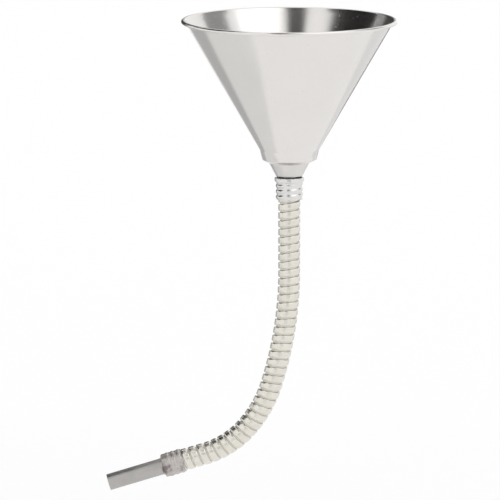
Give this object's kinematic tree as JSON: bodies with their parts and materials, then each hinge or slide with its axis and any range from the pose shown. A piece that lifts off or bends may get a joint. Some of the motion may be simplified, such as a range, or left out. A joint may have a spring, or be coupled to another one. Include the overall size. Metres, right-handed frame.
{
  "type": "funnel",
  "caption": "Sheet-metal funnel with a rolled rim, a strainer, a stepped neck and a long flexible metal spout of hooked turns that ends in a straight tube.",
  "frame": {"origin": "centre of the mouth, in the plane of the rim wire", "axes": "+Z out of the mouth along the cone's axis; the spout bends towards -X in the XZ plane"},
  "size_m": [0.2825, 0.2096, 0.4603],
  "materials": {
    "bowl_sheet": "bright tinned sheet, glossy",
    "rim_wire": "plain wire",
    "neck_sheet": "bright tinned sheet",
    "upper_ferrule": "bright plated",
    "lower_ferrule": "satin, stained by solder heat",
    "tip_tube": "satin",
    "hose_strip": "satin galvanised strip, warm",
    "strainer_ring": "tinned sheet",
    "strainer_mesh": "woven wire"
  },
  "bodies": {
    "funnel": {"cone_body": "bowl_sheet", "rim_wire": "rim_wire", "strainer_ring": "strainer_ring", "strainer_screen": "strainer_mesh", "neck": "neck_sheet", "upper_ferrule": "upper_ferrule", "hose_turn_01": "hose_strip", "hose_turn_02": "hose_strip"},
    "turn_03": {"hose_turn_03": "hose_strip"},
    "turn_04": {"hose_turn_04": "hose_strip"},
    "turn_05": {"hose_turn_05": "hose_strip"},
    "turn_06": {"hose_turn_06": "hose_strip"},
    "turn_07": {"hose_turn_07": "hose_strip"},
    "turn_08": {"hose_turn_08": "hose_strip"},
    "turn_09": {"hose_turn_09": "hose_strip"},
    "turn_10": {"hose_turn_10": "hose_strip"},
    "turn_11": {"hose_turn_11": "hose_strip"},
    "turn_12": {"hose_turn_12": "hose_strip"},
    "turn_13": {"hose_turn_13": "hose_strip"},
    "turn_14": {"hose_turn_14": "hose_strip"},
    "turn_15": {"hose_turn_15": "hose_strip"},
    "turn_16": {"hose_turn_16": "hose_strip"},
    "turn_17": {"hose_turn_17": "hose_strip"},
    "turn_18": {"hose_turn_18": "hose_strip"},
    "turn_19": {"hose_turn_19": "hose_strip"},
    "turn_20": {"hose_turn_20": "hose_strip"},
    "turn_21": {"hose_turn_21": "hose_strip"},
    "turn_22": {"hose_turn_22": "hose_strip"},
    "turn_23": {"hose_turn_23": "hose_strip"},
    "turn_24": {"hose_turn_24": "hose_strip"},
    "turn_25": {"hose_turn_25": "hose_strip"},
    "turn_26": {"hose_turn_26": "hose_strip"},
    "turn_27": {"hose_turn_27": "hose_strip"},
    "turn_28": {"hose_turn_28": "hose_strip"},
    "turn_29": {"hose_turn_29": "hose_strip"},
    "turn_30": {"hose_turn_30": "hose_strip"},
    "turn_31": {"hose_turn_31": "hose_strip"},
    "turn_32": {"hose_turn_32": "hose_strip"},
    "turn_33": {"hose_turn_33": "hose_strip"},
    "turn_34": {"hose_turn_34": "hose_strip"},
    "turn_35": {"hose_turn_35": "hose_strip"},
    "turn_36": {"hose_turn_36": "hose_strip"},
    "turn_37": {"hose_turn_37": "hose_strip"},
    "turn_38": {"hose_turn_38": "hose_strip"},
    "turn_39": {"hose_turn_39": "hose_strip"},
    "spout_end": {"hose_turn_40": "hose_strip", "hose_turn_41": "hose_strip", "lower_ferrule": "lower_ferrule", "spout_tip": "tip_tube"}
  },
  "joints": [
    {"name": "spout_bend_upper", "type": "hinge", "parent": "funnel", "child": "turn_03", "pos_m": [0, 0, -0.1745], "axis": [0, 1, 0], "range_deg": [-7.4, 6.1]},
    {"name": "turn_04_bend", "type": "hinge", "parent": "turn_03", "child": "turn_04", "pos_m": [0, 0, -0.1826], "axis": [0, 1, 0], "range_deg": [-7.4, 6.1]},
    {"name": "spout_side_bend", "type": "hinge", "parent": "turn_04", "child": "turn_05", "pos_m": [0, 0, -0.1907], "axis": [1, 0, 0], "range_deg": [-5.2, 5.2]},
    {"name": "turn_06_bend", "type": "hinge", "parent": "turn_05", "child": "turn_06", "pos_m": [0, 0, -0.1988], "axis": [0, 1, 0], "range_deg": [-7.4, 6.1]},
    {"name": "turn_07_bend", "type": "hinge", "parent": "turn_06", "child": "turn_07", "pos_m": [0, 0, -0.2069], "axis": [0, 1, 0], "range_deg": [-7.4, 6.1]},
    {"name": "turn_08_side", "type": "hinge", "parent": "turn_07", "child": "turn_08", "pos_m": [0, 0, -0.215], "axis": [1, 0, 0], "range_deg": [-5.2, 5.2]},
    {"name": "turn_09_bend", "type": "hinge", "parent": "turn_08", "child": "turn_09", "pos_m": [0, 0, -0.2231], "axis": [0, 1, 0], "range_deg": [-7.4, 6.1]},
    {"name": "turn_10_bend", "type": "hinge", "parent": "turn_09", "child": "turn_10", "pos_m": [0, 0, -0.2312], "axis": [0, 1, 0], "range_deg": [-7.4, 2.92]},
    {"name": "turn_11_side", "type": "hinge", "parent": "turn_10", "child": "turn_11", "pos_m": [0, 0, -0.2393], "axis": [1, 0, 0], "range_deg": [-5.2, 5.2]},
    {"name": "turn_12_bend", "type": "hinge", "parent": "turn_11", "child": "turn_12", "pos_m": [0, 0, -0.2474], "axis": [0, 1, 0], "range_deg": [-7.4, 2.92]},
    {"name": "turn_13_bend", "type": "hinge", "parent": "turn_12", "child": "turn_13", "pos_m": [-0.00018, 0, -0.2555], "axis": [0, 1, 0], "range_deg": [-7.4, 2.92]},
    {"name": "turn_14_side", "type": "hinge", "parent": "turn_13", "child": "turn_14", "pos_m": [-0.00054, 0, -0.26359], "axis": [0.9978, 0, -0.0665], "range_deg": [-5.2, 5.2]},
    {"name": "turn_15_bend", "type": "hinge", "parent": "turn_14", "child": "turn_15", "pos_m": [-0.00108, 0, -0.27167], "axis": [0, 1, 0], "range_deg": [-7.4, 2.92]},
    {"name": "spout_bend_middle", "type": "hinge", "parent": "turn_15", "child": "turn_16", "pos_m": [-0.0018, 0, -0.27974], "axis": [0, 1, 0], "range_deg": [-8.6, 3.4]},
    {"name": "turn_17_side", "type": "hinge", "parent": "turn_16", "child": "turn_17", "pos_m": [-0.00269, 0, -0.28779], "axis": [0.9911, 0, -0.1328], "range_deg": [-5.2, 5.2]},
    {"name": "turn_18_bend", "type": "hinge", "parent": "turn_17", "child": "turn_18", "pos_m": [-0.00377, 0, -0.29582], "axis": [0, 1, 0], "range_deg": [-8.6, 3.4]},
    {"name": "turn_19_bend", "type": "hinge", "parent": "turn_18", "child": "turn_19", "pos_m": [-0.00502, 0, -0.30382], "axis": [0, 1, 0], "range_deg": [-8.6, 3.4]},
    {"name": "turn_20_side", "type": "hinge", "parent": "turn_19", "child": "turn_20", "pos_m": [-0.00645, 0, -0.31179], "axis": [0.9801, 0, -0.1984], "range_deg": [-5.2, 5.2]},
    {"name": "turn_21_bend", "type": "hinge", "parent": "turn_20", "child": "turn_21", "pos_m": [-0.00806, 0, -0.31973], "axis": [0, 1, 0], "range_deg": [-8.6, 3.4]},
    {"name": "turn_22_bend", "type": "hinge", "parent": "turn_21", "child": "turn_22", "pos_m": [-0.00984, 0, -0.32763], "axis": [0, 1, 0], "range_deg": [-8.6, 3.4]},
    {"name": "turn_23_side", "type": "hinge", "parent": "turn_22", "child": "turn_23", "pos_m": [-0.0118, 0, -0.33549], "axis": [0.9648, 0, -0.2632], "range_deg": [-5.2, 5.2]},
    {"name": "turn_24_bend", "type": "hinge", "parent": "turn_23", "child": "turn_24", "pos_m": [-0.01393, 0, -0.34331], "axis": [0, 1, 0], "range_deg": [-8.6, 3.4]},
    {"name": "turn_25_bend", "type": "hinge", "parent": "turn_24", "child": "turn_25", "pos_m": [-0.01623, 0, -0.35107], "axis": [0, 1, 0], "range_deg": [-8.6, 3.4]},
    {"name": "turn_26_side", "type": "hinge", "parent": "turn_25", "child": "turn_26", "pos_m": [-0.01871, 0, -0.35879], "axis": [0.9288, 0, -0.3706], "range_deg": [-5.2, 5.2]},
    {"name": "turn_27_bend", "type": "hinge", "parent": "turn_26", "child": "turn_27", "pos_m": [-0.02171, 0, -0.36631], "axis": [0, 1, 0], "range_deg": [-8.6, 3.4]},
    {"name": "spout_bend_lower", "type": "hinge", "parent": "turn_27", "child": "turn_28", "pos_m": [-0.02523, 0, -0.37361], "axis": [0, 1, 0], "range_deg": [-7.4, 2.1]},
    {"name": "turn_29_side", "type": "hinge", "parent": "turn_28", "child": "turn_29", "pos_m": [-0.02923, 0, -0.38065], "axis": [0.8329, 0, -0.5534], "range_deg": [-5.2, 5.2]},
    {"name": "turn_30_bend", "type": "hinge", "parent": "turn_29", "child": "turn_30", "pos_m": [-0.03371, 0, -0.38739], "axis": [0, 1, 0], "range_deg": [-7.4, 2.1]},
    {"name": "turn_31_bend", "type": "hinge", "parent": "turn_30", "child": "turn_31", "pos_m": [-0.03865, 0, -0.39382], "axis": [0, 1, 0], "range_deg": [-7.4, 2.1]},
    {"name": "turn_32_side", "type": "hinge", "parent": "turn_31", "child": "turn_32", "pos_m": [-0.04402, 0, -0.39988], "axis": [0.6845, 0, -0.729], "range_deg": [-5.2, 5.2]},
    {"name": "turn_33_bend", "type": "hinge", "parent": "turn_32", "child": "turn_33", "pos_m": [-0.04992, 0, -0.40543], "axis": [0, 1, 0], "range_deg": [-7.4, 2.1]},
    {"name": "turn_34_bend", "type": "hinge", "parent": "turn_33", "child": "turn_34", "pos_m": [-0.05631, 0, -0.4104], "axis": [0, 1, 0], "range_deg": [-7.4, 2.1]},
    {"name": "turn_35_side", "type": "hinge", "parent": "turn_34", "child": "turn_35", "pos_m": [-0.06314, 0, -0.41477], "axis": [0.4586, 0, -0.8886], "range_deg": [-5.2, 5.2]},
    {"name": "turn_36_bend", "type": "hinge", "parent": "turn_35", "child": "turn_36", "pos_m": [-0.07034, 0, -0.41848], "axis": [0, 1, 0], "range_deg": [-7.4, 2.1]},
    {"name": "turn_37_bend", "type": "hinge", "parent": "turn_36", "child": "turn_37", "pos_m": [-0.07785, 0, -0.42152], "axis": [0, 1, 0], "range_deg": [-7.4, 2.1]},
    {"name": "turn_38_side", "type": "hinge", "parent": "turn_37", "child": "turn_38", "pos_m": [-0.08561, 0, -0.42384], "axis": [0.2874, 0, -0.9578], "range_deg": [-5.2, 5.2]},
    {"name": "turn_39_bend", "type": "hinge", "parent": "turn_38", "child": "turn_39", "pos_m": [-0.09336, 0, -0.42617], "axis": [0, 1, 0], "range_deg": [-7.4, 2.1]},
    {"name": "turn_40_bend", "type": "hinge", "parent": "turn_39", "child": "spout_end", "pos_m": [-0.10112, 0, -0.4285], "axis": [0, 1, 0], "range_deg": [-7.4, 2.1]}
  ],
  "couplings": [
    {"joint": "turn_04_bend", "follows": "spout_bend_upper", "ratio": 1},
    {"joint": "turn_06_bend", "follows": "spout_bend_upper", "ratio": 1},
    {"joint": "turn_07_bend", "follows": "spout_bend_upper", "ratio": 1},
    {"joint": "turn_08_side", "follows": "spout_side_bend", "ratio": 1},
    {"joint": "turn_09_bend", "follows": "spout_bend_upper", "ratio": 1},
    {"joint": "turn_10_bend", "follows": "spout_bend_middle", "ratio": 0.86},
    {"joint": "turn_11_side", "follows": "spout_side_bend", "ratio": 1},
    {"joint": "turn_12_bend", "follows": "spout_bend_middle", "ratio": 0.86},
    {"joint": "turn_13_bend", "follows": "spout_bend_middle", "ratio": 0.86},
    {"joint": "turn_14_side", "follows": "spout_side_bend", "ratio": 1},
    {"joint": "turn_15_bend", "follows": "spout_bend_middle", "ratio": 0.86},
    {"joint": "turn_17_side", "follows": "spout_side_bend", "ratio": 1},
    {"joint": "turn_18_bend", "follows": "spout_bend_middle", "ratio": 1},
    {"joint": "turn_19_bend", "follows": "spout_bend_middle", "ratio": 1},
    {"joint": "turn_20_side", "follows": "spout_side_bend", "ratio": 1},
    {"joint": "turn_21_bend", "follows": "spout_bend_middle", "ratio": 1},
    {"joint": "turn_22_bend", "follows": "spout_bend_middle", "ratio": 1},
    {"joint": "turn_23_side", "follows": "spout_side_bend", "ratio": 1},
    {"joint": "turn_24_bend", "follows": "spout_bend_middle", "ratio": 1},
    {"joint": "turn_25_bend", "follows": "spout_bend_middle", "ratio": 1},
    {"joint": "turn_26_side", "follows": "spout_side_bend", "ratio": 1},
    {"joint": "turn_27_bend", "follows": "spout_bend_middle", "ratio": 1},
    {"joint": "turn_29_side", "follows": "spout_side_bend", "ratio": 1},
    {"joint": "turn_30_bend", "follows": "spout_bend_lower", "ratio": 1},
    {"joint": "turn_31_bend", "follows": "spout_bend_lower", "ratio": 1},
    {"joint": "turn_32_side", "follows": "spout_side_bend", "ratio": 1},
    {"joint": "turn_33_bend", "follows": "spout_bend_lower", "ratio": 1},
    {"joint": "turn_34_bend", "follows": "spout_bend_lower", "ratio": 1},
    {"joint": "turn_35_side", "follows": "spout_side_bend", "ratio": 1},
    {"joint": "turn_36_bend", "follows": "spout_bend_lower", "ratio": 1},
    {"joint": "turn_37_bend", "follows": "spout_bend_lower", "ratio": 1},
    {"joint": "turn_38_side", "follows": "spout_side_bend", "ratio": 1},
    {"joint": "turn_39_bend", "follows": "spout_bend_lower", "ratio": 1},
    {"joint": "turn_40_bend", "follows": "spout_bend_lower", "ratio": 1}
  ]
}
